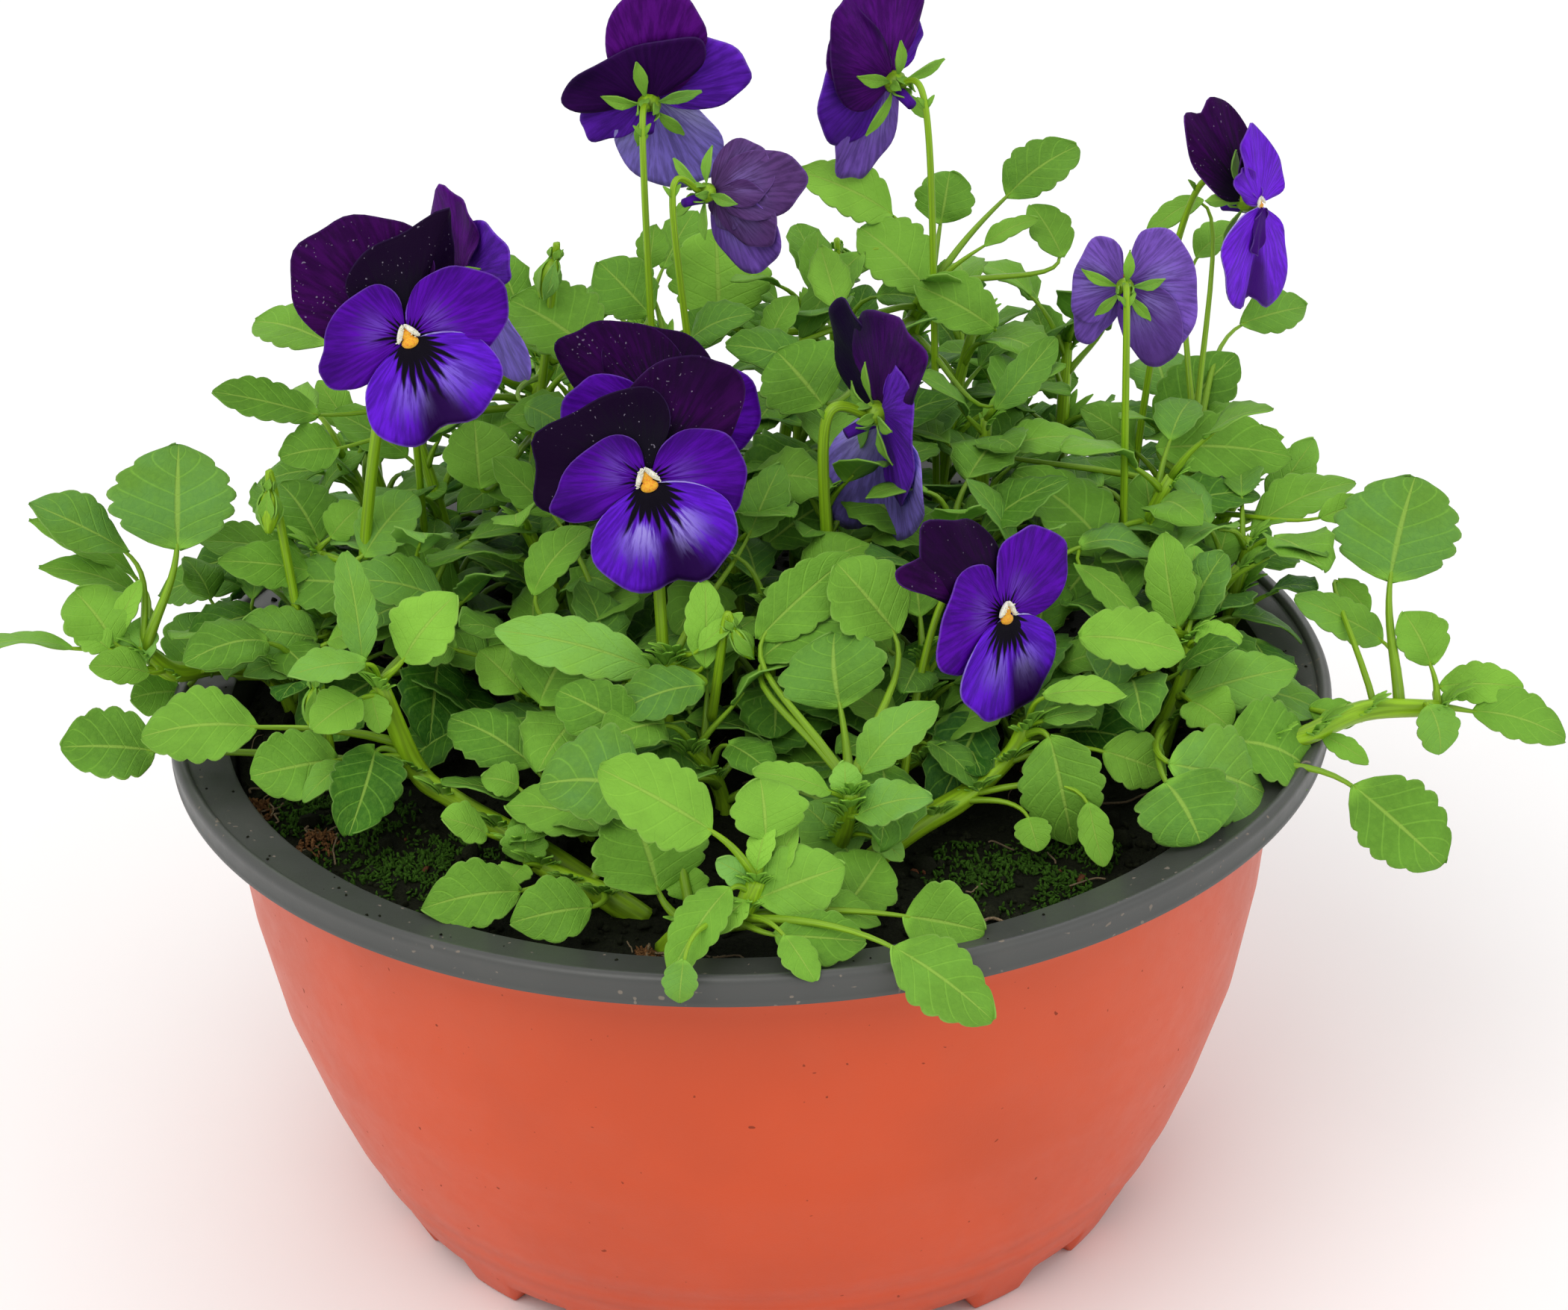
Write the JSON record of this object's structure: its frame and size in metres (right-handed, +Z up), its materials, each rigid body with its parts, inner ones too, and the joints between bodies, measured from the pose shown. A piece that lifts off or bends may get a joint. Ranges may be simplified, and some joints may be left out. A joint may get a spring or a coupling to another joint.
{
  "type": "potted pansy planter",
  "caption": "Low round plastic bowl, terracotta outside and charcoal rim, filled with potting soil and planted with deep violet pansies among scalloped green leaves.",
  "frame": {"origin": "on the bowl's axis, in the plane that its feet stand on", "axes": "+Z up along the bowl's axis; -Y is the side the plant is mostly seen from, with the open front flower looking that way; +X to the right of that view"},
  "size_m": [0.3393, 0.26, 0.2493],
  "materials": {
    "terracotta_plastic": "satin terracotta orange moulded plastic with a faint mould line and two shallow steps near the base",
    "charcoal_plastic": "satin charcoal grey moulded plastic rim and inner skin, with specks of soil",
    "potting_soil": "near-black damp peat and bark potting mix with crumbs, fibres and patches of moss",
    "upper_petal": "velvety near-black purple petal",
    "side_petal": "velvety deep violet petal, maroon towards its tip, with a black blotch and a white beard at the throat",
    "lip_petal": "velvety violet-blue petal with dark whisker lines, a pale zone and an orange-yellow eye",
    "stalk_green": "smooth juicy light green flower stalk and sepals",
    "leaf_green": "matte mid-green leaf with a pale midrib and a scalloped edge, on a translucent light green stem"
  },
  "bodies": {
    "root": {"flower_01_lip_petal": "lip_petal", "flower_01_side_petals": "side_petal", "flower_01_stalk": "stalk_green", "flower_01_upper_petals": "upper_petal", "flower_02_lip_petal": "lip_petal", "flower_02_side_petals": "side_petal", "flower_02_stalk": "stalk_green", "flower_02_upper_petals": "upper_petal", "flower_03_lip_petal": "lip_petal", "flower_03_side_petals": "side_petal", "flower_03_stalk": "stalk_green", "flower_03_upper_petals": "upper_petal", "flower_04_lip_petal": "lip_petal", "flower_04_side_petals": "side_petal", "flower_04_stalk": "stalk_green", "flower_04_upper_petals": "upper_petal", "flower_05_lip_petal": "lip_petal", "flower_05_side_petals": "side_petal", "flower_05_stalk": "stalk_green", "flower_05_upper_petals": "upper_petal", "flower_06_lip_petal": "lip_petal", "flower_06_side_petals": "side_petal", "flower_06_stalk": "stalk_green", "flower_06_upper_petals": "upper_petal", "flower_07_lip_petal": "lip_petal", "flower_07_side_petals": "side_petal", "flower_07_stalk": "stalk_green", "flower_07_upper_petals": "upper_petal", "flower_08_lip_petal": "lip_petal", "flower_08_side_petals": "side_petal", "flower_08_stalk": "stalk_green", "flower_08_upper_petals": "upper_petal", "flower_09_lip_petal": "lip_petal", "flower_09_side_petals": "side_petal", "flower_09_stalk": "stalk_green", "flower_09_upper_petals": "upper_petal", "flower_10_lip_petal": "lip_petal", "flower_10_side_petals": "side_petal", "flower_10_stalk": "stalk_green", "flower_10_upper_petals": "upper_petal", "flower_11_lip_petal": "lip_petal", "flower_11_side_petals": "side_petal", "flower_11_stalk": "stalk_green", "flower_11_upper_petals": "upper_petal", "pot_liner": "charcoal_plastic", "pot_shell": "terracotta_plastic", "potting_soil": "potting_soil", "shoot_back": "leaf_green", "shoot_back_left": "leaf_green", "shoot_centre": "leaf_green", "shoot_front": "leaf_green", "shoot_front_right": "leaf_green", "shoot_left_far": "leaf_green", "shoot_left_front": "leaf_green", "shoot_left_mid": "leaf_green", "shoot_mid_front": "leaf_green", "shoot_right_back": "leaf_green", "shoot_right_far": "leaf_green", "shoot_right_front": "leaf_green", "shoot_rim_left": "leaf_green"}
  },
  "joints": []
}
